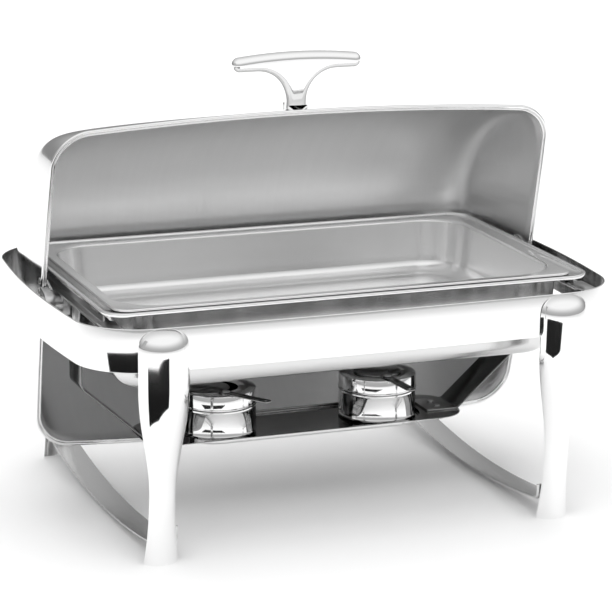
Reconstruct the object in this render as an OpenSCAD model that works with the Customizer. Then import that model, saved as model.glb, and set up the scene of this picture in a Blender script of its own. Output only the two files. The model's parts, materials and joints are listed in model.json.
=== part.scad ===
// Roll top chafer: a rounded lid turns on two end shafts inside a leg-borne band,
// over a water pan, a food pan and two fuel burners on a hung tray.
// Origin: centre of the footprint, on the surface it stands on. Front is -Y.

/* [Band] */
// Outside length of the band, left to right
band_w = 628; // [610:1:660]
// Outside depth of the band, front to back
band_d = 435; // [433:1:460]
// Height of the band's face
band_h = 47; // [35:1:60]
// Height of the band's top edge above the floor
band_top = 260; // [255:1:265]
// Sheet thickness of the band
band_t = 1.6; // [1.2:0.1:2]

/* [Legs] */
// Distance of each leg's axis from the middle, along X
leg_x = 229; // [215:1:235]
// Radius of the leg's shoulder
leg_r = 30; // [26:1:32]
// Wall of the leg's hollow back
leg_wall = 3; // [2.5:0.5:4]

/* [Lid] */
// Angle the lid stands open at, on its stops
lid_open = 75; // [60:1:78]
// Length over the lid's rolled rim
lid_w = 596; // [580:1:600]
// Depth over the lid's rolled rim
lid_d = 415.6; // [400:0.2:418]
// Height of the dome above its rim
lid_h = 170; // [166:1:180]
// Sheet thickness of the lid
lid_t = 1.2; // [1:0.1:1.6]
// Height of the lid's turning axis above the floor
pivot_z = 242; // [240:0.5:244]

/* [Pans] */
// Height of the pans' rims above the floor
pan_top = 270; // [268:0.5:272]
// Length of the water pan's rim
water_w = 562; // [556:1:564]
// Depth of the water pan's rim
water_d = 357; // [350:1:359]
// Depth of the water pan's well
water_deep = 95; // [85:1:98]
// Length of the food pan's rim
food_w = 530; // [525:1:532]
// Depth of the food pan's rim
food_d = 325; // [320:1:326]
// Depth of the food pan's well
food_deep = 65; // [40:1:68]

/* [Burners] */
// Distance of each burner from the middle, along X
burner_x = 98; // [80:1:98]
// Outside radius of the burner's cup
cup_r = 45.5; // [40:0.5:46]
// Height of the floor of the tray's recess above the surface it stands on
tray_z = 76.5; // [74:0.5:80]

/* [Hidden] */
$fn = 64;
// Running fit of a pin, gap between faces that bear on each other, and how far a cutter runs past a face
fit = 0.06;
touch = 0.05;
past = 1;

// Band outline
band_r = 60;
band_bow_end = 15;
band_bow_front = 7.5;
// Legs: axis set back at the foot, flat back in front of the axis
leg_top_y = 205;
leg_foot_y = 188;
leg_back = 9.7;
leg_solid_z = 36;
foot_r = 21.5;
waist_r = 17.6;
waist_z = 78;
shoulder_z = 196;
dome_z = 232;
crown_flat = 0.08;
crown_power = 2.8;
cavity_under = 8;
leg_rings = 12;
dome_rings = 6;
leg_points = 15;
leg_screw_z = [222, 238];
boss_r = 6.5;
boss_skin = 0.8;
pad_half = 12;
pad_deep = 8;
screw_r = 3;
hex_r = 5.5;
hex_h = 4;
leg_screw_l = 14;
leg_screw_set = 0.9;
strap_screw_l = 11;
// Stretchers
strap_w = 30;
strap_t = 2.5;
strap_low = 6;
strap_rise = 16;
strap_half = 199.5;
strap_in = 4;
tab_h = 17;
strap_hole = 21;
// Lid outline and section, measured from its rim plane
rim_up = 16.5;
lid_r = 40;
lid_bow_front = 13.4;
lid_bow_end = 4;
bead = 4;
bead_in = 2;
arch_off = 80;
// Ends of the dome: a superellipse turned about the pivot, so the lid clears the band as it swings
end_x = 292.5;
end_r = 212;
end_power = 7;
// Inner frame
shaft_r = 8;
rail_in = 264;
rail_out = 282;
rail_t = 2.5;
rail_z = 251;
rail_front = 168;
rail_back = 150;
web_x = 272;
bracket_back = 150;
bracket_tab_t = 2;
bracket_rise = 10;
hinge_in = 287.7;
hinge_out = 299;
block_r = 12.5;
tongue_in = 287.7;
tongue_out = 290.7;
tongue_low = 4;
tongue_half = 14;
tongue_up = 30;
hinge_rivet_y = [-7, 7];
hinge_rivet_z = [8, 22];
saddle_in = 272;
saddle_out = 280;
saddle_half = 13;
saddle_under = 12;
stop_boss = 6;
stop_seat = 3;
stop_r = 3;
stop_along = 24;
stop_gap = 0.3;
// Tray and its hangers
tray_w = 386;
tray_d = 100;
tray_r = 34;
tray_t = 1.5;
tray_y = -1;
recess_w = 294;
recess_d = 98;
recess_r = 42;
recess_deep = 4;
plate_z = tray_z + recess_deep;
hanger_w = 48;
hanger_t = 2;
hanger_x = 262;
hanger_top = 222;
hanger_knee = 147;
hanger_foot_x = 190;
hanger_foot_l = 38;
hanger_tab = 10;
tray_rivet_x = 170;
rivet_r = 2;
rivet_head = 3.5;
rivet_cap = 1.2;
post_r = 4.5;
post_y = 19;
post_x = 267;
// Pans
pan_t = 1.2;
pan_y = -3;
ledge = 2.5;
water_r = 33;
food_r = 18;
rim_h = ledge + pan_t;
rim_curb = 5;
water_well_r = 42;
food_well_r = 48;
// Section of a well: height above the floor, and how much the outline is smaller there
well_steps = [[20, 8], [6, 20], [0, 44]];
slice = 0.1;
// Handle, in its own frame: Z along the stem, X along the grip
handle_tilt = 79;
handle_v = 186.4;
handle_w0 = 48.3;
handle_h = 66;
grip_half = 76.5;
grip_r = 8.5;
stem_half = 12.5;
stem_flare = 34;
stem_root = 20;
handle_hole_l = 18;
washer_r = 9;
washer_t = 1.5;
handle_screw_head = 3.5;
washer_drop = lid_t + 2;
// Burners
cup_h = 34;
cap_h = 18;
cap_r = cup_r - 1;
cup_t = 1.2;
cup_bead = 3;
cap_bead = 1.4;
cap_bore = cup_r - 3.9;
cap_skirt_r = cup_r - 2.6;
cap_skirt_h = 6;
cap_top_t = 1.2;
vent_r = 24;
damper_r = 27;
damper_t = 1.2;
damper_y = -31;
damper_ear_r = 7;
damper_gap = 0.2;
damper_pin_r = 2.5;
damper_head_r = 4.5;
damper_head_h = 1.3;
lever_w = 12;
lever_l = 56;
lever_turn = -85;
lever_eye_r = 2.5;
left_swing = 28;

// Rounded rectangle w by d, corner r, whose ends pull in by be and whose fronts pull in by bf
// towards the corners.
function corner_pts(w, d, r, n) = [for (q = [0:3]) for (i = [0:n])
  let(a = 90 * q + 90 * i / n, sx = (q == 0 || q == 3) ? 1 : -1, sy = q < 2 ? 1 : -1)
  [sx * (w / 2 - r) + r * cos(a), sy * (d / 2 - r) + r * sin(a)]];
function with_sides(p, m) = [for (i = [0:len(p) - 1]) let(a = p[i], b = p[(i + 1) % len(p)])
  for (j = [0:(norm(b - a) > 60 ? m - 1 : 0)]) a + (b - a) * j / (norm(b - a) > 60 ? m : 1)];
function bowed(w, d, r, bx, by) = [for (p = with_sides(corner_pts(w, d, r, 6), 8))
  [p[0] - sign(p[0]) * bx * pow(2 * p[1] / d, 2), p[1] - sign(p[1]) * by * pow(2 * p[0] / w, 2)]];

module band_outline(inset) {
  polygon(bowed(band_w - 2 * inset, band_d - 2 * inset, band_r - inset, band_bow_end, band_bow_front));
}
module lid_outline(inset) {
  polygon(bowed(lid_w - 2 * inset, lid_d - 2 * inset, lid_r - inset, lid_bow_end, lid_bow_front));
}
module plain_outline(w, d, r) {
  polygon(corner_pts(w, d, r, 6));
}
module at_pivot() {
  translate([0, 0, pivot_z]) rotate([-lid_open, 0, 0]) children();
}

// Frame ------------------------------------------------------------------------------------
module frame_band() {
  color("whitesmoke") difference() {
    translate([0, 0, band_top - band_h]) linear_extrude(band_h) band_outline(0);
    translate([0, 0, band_top - band_h - past]) linear_extrude(band_h + 2 * past) band_outline(band_t);
    for (sx = [-1, 1], z = leg_screw_z) translate([sx * leg_x, 0, z]) rotate([90, 0, 0])
      cylinder(r = screw_r + fit, h = band_d + 2 * past, center = true);
  }
}

// Leg radius and axis setback at height z
function smooth(t) = let(c = max(0, min(1, t))) c * c * (3 - 2 * c);
function leg_radius(z) = z > dome_z
  ? leg_r * pow(max(crown_flat, 1 - pow((z - dome_z) / (band_top + past - dome_z), crown_power)),
    1 / crown_power)
  : z > waist_z ? waist_r + (leg_r - waist_r) * smooth((z - waist_z) / (shoulder_z - waist_z))
  : waist_r + (foot_r - waist_r) * pow(1 - z / waist_z, 2.4);
function leg_axis(z) = leg_foot_y + (leg_top_y - leg_foot_y) * pow(min(1, z / shoulder_z), 0.75);
function leg_ring(z, inset) = let(r = leg_radius(z) - inset, c = leg_axis(z), b = min(leg_back, 0.8 * r),
  a0 = asin(b / r)) [for (i = [0:leg_points]) let(a = a0 + (180 - 2 * a0) * i / leg_points)
  [leg_x + r * cos(a), -c - r * sin(a), z]];
module leg_solid(z0, z1, inset, back) {
  zs = concat([for (i = [0:leg_rings]) z0 + (dome_z - z0) * i / leg_rings],
    [for (i = [1:dome_rings]) dome_z + (z1 - dome_z) * sin(90 * i / dome_rings)]);
  top = leg_rings + dome_rings;
  n = leg_points + 1 + (back > 0 ? 2 : 0);
  rings = [for (z = zs) let(p = leg_ring(z, inset)) back > 0
    ? concat(p, [p[leg_points] + [0, back, 0], p[0] + [0, back, 0]]) : p];
  faces = concat([[for (i = [n - 1:-1:0]) i]], [[for (i = [0:n - 1]) top * n + i]],
    [for (k = [0:top - 1], i = [0:n - 1]) let(j = (i + 1) % n)
      each [[k * n + i, (k + 1) * n + j, (k + 1) * n + i], [k * n + i, k * n + j, (k + 1) * n + j]]]);
  polyhedron([for (r = rings) each r], faces);
}
module leg() {
  color("gainsboro") difference() {
    union() {
      difference() {
        leg_solid(0, band_top, 0, 0);
        leg_solid(leg_solid_z, band_top - cavity_under, leg_wall, leg_r);
      }
      for (z = leg_screw_z) translate([leg_x, -leg_axis(z) - leg_back, z]) rotate([90, 0, 0])
        cylinder(r = boss_r, h = leg_radius(z + boss_r) - leg_back - boss_skin);
      translate([leg_x - pad_half, -leg_foot_y - leg_back - pad_deep, strap_end_z])
        cube([2 * pad_half, leg_foot_y + leg_back + pad_deep - strap_half - touch, tab_h]);
    }
    for (z = leg_screw_z) translate([leg_x, -leg_axis(z) - leg_back + past, z]) rotate([90, 0, 0])
      cylinder(r = screw_r + fit, h = leg_screw_l);
    translate([leg_x, -leg_axis(0), strap_screw_z]) rotate([90, 0, 0])
      cylinder(r = screw_r + fit, h = strap_hole);
  }
}
module leg_front_left() { mirror([1, 0, 0]) leg(); }
module leg_front_right() { leg(); }
module leg_rear_left() { mirror([1, 0, 0]) mirror([0, 1, 0]) leg(); }
module leg_rear_right() { mirror([0, 1, 0]) leg(); }

// A hex-head screw along -Y, head face at the origin
module screw(length) {
  rotate([90, 0, 0]) cylinder(r = screw_r, h = length);
  rotate([-90, 0, 0]) cylinder(r = hex_r, h = hex_h, $fn = 6);
}
band_inner_y = band_d / 2 - band_t - band_bow_front * pow(2 * leg_x / band_w, 2);
module leg_screws() {
  color("silver") for (sx = [-1, 1], sy = [0, 1], z = leg_screw_z)
    mirror([0, sy, 0]) translate([sx * leg_x, -band_inner_y + leg_screw_set, z]) screw(leg_screw_l);
}

// Stretchers: one spring-steel strap per side, sagging between the feet
strap_end_z = strap_low + strap_rise;
strap_screw_z = strap_end_z + tab_h / 2 + 1;
module strap_side() {
  n = 16;
  path = [for (i = [0:n]) let(y = -strap_half + 2 * strap_half * i / n)
    [y, strap_low + strap_rise * pow(y / strap_half, 2)]];
  polygon(concat([[-strap_half, strap_end_z + tab_h]], path, [[strap_half, strap_end_z + tab_h]],
    [[strap_half - strap_t, strap_end_z + tab_h]],
    [for (i = [n:-1:0]) let(p = path[i]) [p[0] * (1 - strap_t / strap_half), p[1] + strap_t]],
    [[-strap_half + strap_t, strap_end_z + tab_h]]));
}
module stretcher() {
  color("lightgray") difference() {
    translate([leg_x - strap_in - strap_w / 2, 0, 0]) rotate([90, 0, 90])
      linear_extrude(strap_w) strap_side();
    for (s = [0, 1]) mirror([0, s, 0]) translate([leg_x, -strap_half + strap_t + past, strap_screw_z])
      rotate([90, 0, 0]) cylinder(r = screw_r + fit, h = strap_t + 2 * past);
  }
}
module stretcher_left() { mirror([1, 0, 0]) stretcher(); }
module stretcher_right() { stretcher(); }
module stretcher_screws() {
  color("silver") for (sx = [-1, 1], sy = [0, 1])
    mirror([0, sy, 0]) translate([sx * leg_x, -strap_half + strap_t + touch, strap_screw_z])
      screw(strap_screw_l);
}

// Inner frame: cantilevered from the front corners, steadied by the hinge shafts -------------
module side_rail() {
  color("lightgray") {
    translate([rail_in, -rail_front, rail_z]) cube([rail_out - rail_in, rail_front + rail_back, rail_t]);
    translate([web_x, -bracket_back + bracket_tab_t, rail_z + rail_t])
      cube([rail_t, bracket_back - bracket_tab_t + rail_back, pan_top - rim_h - rail_z - rail_t - touch]);
  }
}
module side_rail_left() { mirror([1, 0, 0]) side_rail(); }
module side_rail_right() { side_rail(); }

module corner_bracket() {
  color("white") {
    intersection() {
      translate([rail_in, -band_d / 2, rail_z + rail_t])
        cube([rail_out - rail_in, band_d / 2 - bracket_back, rail_t]);
      translate([0, 0, rail_z]) linear_extrude(3 * rail_t) band_outline(band_t + 2 * touch);
    }
    intersection() {
      translate([rail_in, -band_d / 2, band_top - band_h + bracket_rise])
        cube([rail_out - rail_in, band_d / 4, rail_z + rail_t - band_top + band_h - bracket_rise]);
      translate([0, 0, band_top - band_h]) linear_extrude(band_h) difference() {
        band_outline(band_t + 2 * touch);
        band_outline(band_t + 2 * touch + bracket_tab_t);
      }
    }
  }
}
module corner_bracket_left() { mirror([1, 0, 0]) corner_bracket(); }
module corner_bracket_right() { corner_bracket(); }

module hinge_shaft() {
  color("gray") translate([rail_in, 0, pivot_z]) rotate([0, 90, 0])
    cylinder(r = shaft_r, h = band_w / 2 - band_t - 3 * touch - rail_in);
}
module hinge_shaft_left() { mirror([1, 0, 0]) hinge_shaft(); }
module hinge_shaft_right() { hinge_shaft(); }

// Stop pin: clear of the bracket's tongue by stop_gap when the lid is open
stop_side = tongue_half + stop_r + stop_gap;
stop_y = stop_along * sin(lid_open) + stop_side * cos(lid_open);
stop_z = stop_along * cos(lid_open) - stop_side * sin(lid_open);
module shaft_saddle() {
  color("gray") difference() {
    union() {
      translate([saddle_in, -saddle_half, pivot_z - saddle_under])
        cube([saddle_out - saddle_in, 2 * saddle_half, rail_z - pivot_z + saddle_under]);
      translate([saddle_in, 0, pivot_z + stop_z - stop_boss])
        cube([saddle_out - saddle_in, stop_y + stop_boss, 2 * stop_boss]);
    }
    translate([saddle_in - past, 0, pivot_z]) rotate([0, 90, 0])
      cylinder(r = shaft_r + fit, h = saddle_out - saddle_in + 2 * past);
    translate([saddle_in + stop_seat, stop_y, pivot_z + stop_z]) rotate([0, 90, 0])
      cylinder(r = stop_r + fit, h = saddle_out - saddle_in);
  }
}
module shaft_saddle_left() { mirror([1, 0, 0]) shaft_saddle(); }
module shaft_saddle_right() { shaft_saddle(); }
module lid_stop() {
  color("silver") translate([saddle_in + stop_seat, stop_y, pivot_z + stop_z]) rotate([0, 90, 0])
    cylinder(r = stop_r, h = tongue_out - saddle_in - stop_seat);
}
module lid_stop_left() { mirror([1, 0, 0]) lid_stop(); }
module lid_stop_right() { lid_stop(); }

// Fuel tray and its hangers -----------------------------------------------------------------
module hanger_posts() {
  color("silver") for (sx = [-1, 1], sy = [-1, 1])
    translate([sx * post_x, sy * post_y, hanger_top]) cylinder(r = post_r, h = rail_z - hanger_top);
}
module tray_hanger() {
  t = hanger_t;
  zf = plate_z + touch;
  // Half the shift between the strip's two faces at its bends
  k = t * 0.42;
  color("dimgray") difference() {
    translate([0, hanger_w / 2, 0]) rotate([90, 0, 0]) linear_extrude(hanger_w) polygon([
      [hanger_x + hanger_tab, hanger_top], [hanger_x, hanger_top], [hanger_x, hanger_knee + k],
      [hanger_foot_x - k, zf + t], [hanger_foot_x - hanger_foot_l, zf + t],
      [hanger_foot_x - hanger_foot_l, zf], [hanger_foot_x + k, zf], [hanger_x + t, hanger_knee - k],
      [hanger_x + t, hanger_top - t], [hanger_x + hanger_tab, hanger_top - t]]);
    for (y = [-post_y / 2, post_y / 2]) translate([tray_rivet_x, y, zf - past])
      cylinder(r = rivet_r + fit, h = t + 2 * past);
  }
}
module tray_hanger_left() { mirror([1, 0, 0]) tray_hanger(); }
module tray_hanger_right() { tray_hanger(); }
module tray_rivets() {
  color("silver") for (sx = [-1, 1], sy = [-1, 1])
    translate([sx * tray_rivet_x, sy * post_y / 2, plate_z - tray_t - rivet_cap]) {
      cylinder(r = rivet_head, h = rivet_cap);
      cylinder(r = rivet_r, h = rivet_cap + hanger_t + tray_t + 2 * touch);
      translate([0, 0, rivet_cap + hanger_t + tray_t + touch]) cylinder(r = rivet_head, h = rivet_cap);
    }
}
module fuel_tray() {
  color("silver") difference() {
    union() {
      translate([0, tray_y, plate_z - tray_t]) linear_extrude(tray_t) plain_outline(tray_w, tray_d, tray_r);
      translate([0, tray_y, tray_z - tray_t]) linear_extrude(recess_deep)
        plain_outline(recess_w, recess_d, recess_r);
    }
    translate([0, tray_y, tray_z]) linear_extrude(recess_deep + past)
      plain_outline(recess_w - 2 * tray_t, recess_d - 2 * tray_t, recess_r - tray_t);
    for (sx = [-1, 1], sy = [-1, 1]) translate([sx * tray_rivet_x, sy * post_y / 2, plate_z - tray_t - past])
      cylinder(r = rivet_r + fit, h = tray_t + 2 * past);
  }
}

// Pans --------------------------------------------------------------------------------------
// A well whose walls lean in a little and round into its floor
module well(w, d, r, top, deep) {
  hull() {
    translate([0, 0, top - slice]) linear_extrude(slice) plain_outline(w, d, r);
    for (step = well_steps) translate([0, 0, top - deep + step[0]]) linear_extrude(slice)
      plain_outline(w - step[1], d - step[1], r - step[1] / 4);
  }
}
water_well_w = water_w - 42;
water_well_d = water_d - 42;
food_well_w = food_w - 22;
food_well_d = food_d - 22;
module water_pan() {
  color("whitesmoke") translate([0, pan_y, 0]) difference() {
    union() {
      translate([0, 0, pan_top - rim_h]) linear_extrude(rim_h) plain_outline(water_w, water_d, water_r);
      well(water_well_w, water_well_d, water_well_r, pan_top - rim_h + slice, water_deep - rim_h + slice);
    }
    translate([0, 0, pan_top - ledge]) linear_extrude(ledge + past)
      plain_outline(water_w - 2 * rim_curb, water_d - 2 * rim_curb, water_r - rim_curb);
    well(water_well_w - 2 * pan_t, water_well_d - 2 * pan_t, water_well_r - pan_t, pan_top + past,
      water_deep + past - pan_t);
  }
}
module food_pan() {
  color("silver") translate([0, pan_y, 0]) difference() {
    union() {
      translate([0, 0, pan_top - ledge + slice]) linear_extrude(ledge - slice)
        plain_outline(food_w, food_d, food_r);
      well(food_well_w, food_well_d, food_well_r, pan_top, food_deep);
    }
    well(food_well_w - 2 * pan_t, food_well_d - 2 * pan_t, food_well_r - pan_t, pan_top + past,
      food_deep + past - pan_t);
  }
}

// Lid, drawn shut and turned open about the pivot ---------------------------------------------
module arch(inset) {
  b = lid_h + arch_off - inset;
  half = lid_d / 2 - bead_in - inset;
  t0 = acos(arch_off / b);
  a = half / sin(t0);
  polygon(concat([[half, -bead]], [for (i = [0:32]) let(t = t0 - 2 * t0 * i / 32)
    [a * sin(t), b * cos(t) - arch_off]], [[-half, -bead]]));
}
module end_profile(inset) {
  r = end_r - inset;
  x = end_x - inset;
  bend = [for (i = [0:12]) let(a = 90 * i / 12)
    [r * pow(sin(a), 2 / end_power), x * pow(cos(a), 2 / end_power)]];
  polygon(concat(bend, [[r, -1], [0, -1]]));
}
module dome(inset) {
  intersection() {
    translate([-lid_w / 2, 0, rim_up]) rotate([90, 0, 90]) linear_extrude(lid_w) arch(inset);
    union() {
      rotate([0, 90, 0]) rotate_extrude() end_profile(inset);
      rotate([0, -90, 0]) rotate_extrude() end_profile(inset);
    }
    translate([0, 0, rim_up - bead / 2]) linear_extrude(lid_h + bead) lid_outline(bead_in + inset);
  }
}
// Slope of the dome's normal under the handle
arch_a = (lid_d / 2 - bead_in) / sin(acos(arch_off / (lid_h + arch_off)));
dome_slope = atan2(handle_v / pow(arch_a, 2), (handle_w0 + arch_off) / pow(lid_h + arch_off, 2));
module at_handle_foot() {
  translate([0, -handle_v, rim_up + handle_w0]) children();
}
module lid_shell() {
  color("gainsboro") at_pivot() difference() {
    union() {
      dome(0);
      translate([0, 0, rim_up - bead / 2]) linear_extrude(bead) lid_outline(0);
    }
    dome(lid_t);
    at_handle_foot() rotate([dome_slope, 0, 0]) translate([0, 0, -handle_hole_l / 2])
      cylinder(r = screw_r + fit, h = handle_hole_l);
    for (sx = [-1, 1], y = hinge_rivet_y, z = hinge_rivet_z)
      translate([sx * tongue_in, y, rim_up + z]) rotate([0, sx * 90, 0])
        cylinder(r = rivet_r + fit, h = end_x - tongue_in + past);
  }
}
module hinge_bracket() {
  color("gray") difference() {
    union() {
      translate([hinge_in, 0, 0]) rotate([0, 90, 0]) cylinder(r = block_r, h = hinge_out - hinge_in);
      translate([hinge_in, -block_r, 0])
        cube([hinge_out - hinge_in, 2 * block_r, rim_up - bead / 2 - 2 * touch]);
      translate([tongue_in, -tongue_half, tongue_low])
        cube([tongue_out - tongue_in, 2 * tongue_half, rim_up + tongue_up - tongue_low]);
    }
    translate([hinge_in - past, 0, 0]) rotate([0, 90, 0])
      cylinder(r = shaft_r + fit, h = hinge_out - hinge_in + 2 * past);
    for (y = hinge_rivet_y, z = hinge_rivet_z) translate([tongue_in - past, y, rim_up + z]) rotate([0, 90, 0])
      cylinder(r = rivet_r + fit, h = tongue_out - tongue_in + 2 * past);
  }
}
module hinge_bracket_left() { at_pivot() mirror([1, 0, 0]) hinge_bracket(); }
module hinge_bracket_right() { at_pivot() hinge_bracket(); }
module hinge_rivets() {
  color("silver") at_pivot() for (s = [0, 1], y = hinge_rivet_y, z = hinge_rivet_z)
    mirror([s, 0, 0]) translate([tongue_in - rivet_cap, y, rim_up + z]) rotate([0, 90, 0]) {
      cylinder(r = rivet_head, h = rivet_cap);
      cylinder(r = rivet_r, h = rivet_cap + end_x - tongue_in + 2 * touch);
      translate([0, 0, rivet_cap + end_x - tongue_in + touch]) cylinder(r = rivet_head, h = rivet_cap);
    }
}

// Handle outline: a grip bar on a stem that flares into it
module handle_outline() {
  under = handle_h - 2 * grip_r;
  n = 10;
  right = concat([[stem_half, -stem_root], [stem_half, under - stem_flare]],
    [for (i = [1:n]) let(a = 90 * i / n) [stem_half + stem_flare * (1 - cos(a)),
      under - stem_flare + stem_flare * sin(a)]],
    [for (i = [0:n]) let(a = -90 + 180 * i / n) [grip_half - grip_r + grip_r * cos(a),
      handle_h - grip_r + grip_r * sin(a)]]);
  polygon(concat(right, [for (i = [len(right) - 1:-1:0]) [-right[i][0], right[i][1]]]));
}
module handle() {
  color("whitesmoke") at_pivot() difference() {
    at_handle_foot() rotate([handle_tilt, 0, 0]) translate([0, grip_r, 0]) rotate([90, 0, 0])
      linear_extrude(2 * grip_r) handle_outline();
    dome(-touch);
    at_handle_foot() rotate([dome_slope, 0, 0]) translate([0, 0, -washer_drop])
      cylinder(r = screw_r + fit, h = handle_hole_l + washer_drop);
  }
}
module handle_screw() {
  color("silver") at_pivot() at_handle_foot() rotate([dome_slope, 0, 0]) translate([0, 0, -washer_drop]) {
    translate([0, 0, -handle_screw_head]) cylinder(r = hex_r, h = handle_screw_head);
    cylinder(r = screw_r, h = handle_hole_l);
  }
}
module handle_washer() {
  color("silver") at_pivot() at_handle_foot() rotate([dome_slope, 0, 0]) translate([0, 0, -washer_drop])
    difference() {
      cylinder(r = washer_r, h = washer_t);
      translate([0, 0, -past]) cylinder(r = screw_r + fit, h = washer_t + 2 * past);
    }
}

// Burners -----------------------------------------------------------------------------------
cup_z = tray_z + 2 * touch;
cap_z = cup_z + cup_h;
module burner_cup() {
  color("silver") translate([0, 0, cup_z]) difference() {
    union() {
      cylinder(r = cup_r - 1, h = cup_h);
      for (z = [0, cup_h - cup_bead]) translate([0, 0, z]) cylinder(r = cup_r, h = cup_bead);
    }
    translate([0, 0, cup_t]) cylinder(r = cup_r - 1 - cup_t, h = cup_h);
  }
}
module burner_cap() {
  color("gainsboro") translate([0, 0, cap_z]) difference() {
    union() {
      translate([0, 0, 2 * touch]) cylinder(r = cup_r, h = cap_bead);
      translate([0, 0, 2 * touch]) cylinder(r = cap_r, h = cap_h - 2 * touch);
      translate([0, 0, -cap_skirt_h]) cylinder(r = cap_skirt_r, h = cap_skirt_h + past);
    }
    translate([0, 0, -cap_skirt_h - past]) cylinder(r = cap_bore, h = cap_skirt_h + past + cap_h - cap_top_t);
    translate([0, 0, -past]) cylinder(r = vent_r, h = cap_h + 2 * past);
    translate([0, damper_y, cap_h - cap_top_t - past])
      cylinder(r = damper_pin_r + fit, h = cap_top_t + 2 * past);
  }
}
module damper_rivet() {
  pin_h = cap_top_t + 2 * damper_gap + damper_t;
  color("silver") translate([0, damper_y, cap_z + cap_h - cap_top_t]) {
    cylinder(r = damper_pin_r, h = pin_h + touch);
    translate([0, 0, pin_h]) cylinder(r = damper_head_r, h = damper_head_h);
  }
}
// Drawn closed over the vent, and turned about its rivet by swing
module burner_damper(swing) {
  color("dimgray") translate([0, damper_y, cap_z + cap_h + damper_gap]) rotate([0, 0, swing]) difference() {
    union() {
      translate([0, -damper_y, 0]) cylinder(r = damper_r, h = damper_t);
      translate([-lever_w / 2, 0, 0]) cube([lever_w, -damper_y, damper_t]);
      cylinder(r = damper_ear_r, h = damper_t);
      rotate([0, 0, lever_turn]) {
        translate([0, -lever_w / 2, 0]) cube([lever_l, lever_w, damper_t]);
        translate([lever_l, 0, 0]) cylinder(r = lever_w / 2, h = damper_t);
      }
    }
    translate([0, 0, -past]) cylinder(r = damper_pin_r + fit, h = damper_t + 2 * past);
    rotate([0, 0, lever_turn]) translate([lever_l, 0, -past])
      cylinder(r = lever_eye_r, h = damper_t + 2 * past);
  }
}
module burner_cup_left() { translate([-burner_x, 0, 0]) burner_cup(); }
module burner_cap_left() { translate([-burner_x, 0, 0]) burner_cap(); }
module burner_damper_left() { translate([-burner_x, 0, 0]) burner_damper(left_swing); }
module damper_rivet_left() { translate([-burner_x, 0, 0]) damper_rivet(); }
module burner_cup_right() { translate([burner_x, 0, 0]) burner_cup(); }
module burner_cap_right() { translate([burner_x, 0, 0]) burner_cap(); }
module burner_damper_right() { translate([burner_x, 0, 0]) burner_damper(0); }
module damper_rivet_right() { translate([burner_x, 0, 0]) damper_rivet(); }

frame_band();
leg_front_left();
leg_front_right();
leg_rear_left();
leg_rear_right();
leg_screws();
stretcher_left();
stretcher_right();
stretcher_screws();
side_rail_left();
side_rail_right();
corner_bracket_left();
corner_bracket_right();
hinge_shaft_left();
hinge_shaft_right();
shaft_saddle_left();
shaft_saddle_right();
lid_stop_left();
lid_stop_right();
hanger_posts();
tray_hanger_left();
tray_hanger_right();
tray_rivets();
fuel_tray();
water_pan();
food_pan();
lid_shell();
hinge_bracket_left();
hinge_bracket_right();
hinge_rivets();
handle();
handle_screw();
handle_washer();
burner_cup_left();
burner_cap_left();
burner_damper_left();
damper_rivet_left();
burner_cup_right();
burner_cap_right();
burner_damper_right();
damper_rivet_right();
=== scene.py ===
"""Roll top chafer: the visual model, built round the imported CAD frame.

Pieces are worked out in millimetres in the CAD's frame and turned into metres when a mesh is made.
Front is -Y, +Z is up. The lid's own pieces are worked out shut, measured from the hinge axis, and
turned open by LID_OPEN, which is the rest pose.
"""
import json
import math

import bmesh
import bpy
from mathutils import Matrix, Vector

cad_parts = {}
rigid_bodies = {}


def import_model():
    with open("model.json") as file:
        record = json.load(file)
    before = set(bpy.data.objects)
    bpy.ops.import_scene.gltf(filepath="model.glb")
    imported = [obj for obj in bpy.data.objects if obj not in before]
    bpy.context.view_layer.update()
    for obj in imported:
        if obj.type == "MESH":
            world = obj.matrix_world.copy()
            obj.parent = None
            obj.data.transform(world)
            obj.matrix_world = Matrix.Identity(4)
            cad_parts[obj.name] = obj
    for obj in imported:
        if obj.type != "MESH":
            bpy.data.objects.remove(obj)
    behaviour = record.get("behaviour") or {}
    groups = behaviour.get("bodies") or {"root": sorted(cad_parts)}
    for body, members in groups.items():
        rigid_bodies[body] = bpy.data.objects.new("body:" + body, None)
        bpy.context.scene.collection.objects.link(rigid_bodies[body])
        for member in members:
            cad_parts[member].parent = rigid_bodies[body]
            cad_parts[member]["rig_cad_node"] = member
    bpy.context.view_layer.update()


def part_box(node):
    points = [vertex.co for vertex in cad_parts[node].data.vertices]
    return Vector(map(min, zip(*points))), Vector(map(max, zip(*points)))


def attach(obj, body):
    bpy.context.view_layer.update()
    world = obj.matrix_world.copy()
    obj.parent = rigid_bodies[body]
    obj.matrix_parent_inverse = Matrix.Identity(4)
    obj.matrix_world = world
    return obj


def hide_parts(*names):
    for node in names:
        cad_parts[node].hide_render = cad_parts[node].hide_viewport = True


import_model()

MM = 0.001


def extent(node):
    """Lowest and highest corner of a CAD node, in millimetres."""
    lo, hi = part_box(node)
    return lo / MM, hi / MM


def smoothstep(t):
    t = max(0.0, min(1.0, t))
    return t * t * (3 - 2 * t)


# Places and sizes read from the frame ----------------------------------------------------------
band_lo, band_hi = extent("frame_band")
leg_hi = extent("leg_front_right")[1]
water_lo, water_hi = extent("water_pan")
food_lo, food_hi = extent("food_pan")
tray_lo, tray_hi = extent("fuel_tray")
strap_lo, strap_hi = extent("stretcher_right")
hanger_lo, hanger_hi = extent("tray_hanger_right")
shaft_lo, shaft_hi = extent("hinge_shaft_right")
lid_lo, lid_hi = extent("lid_shell")

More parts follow.
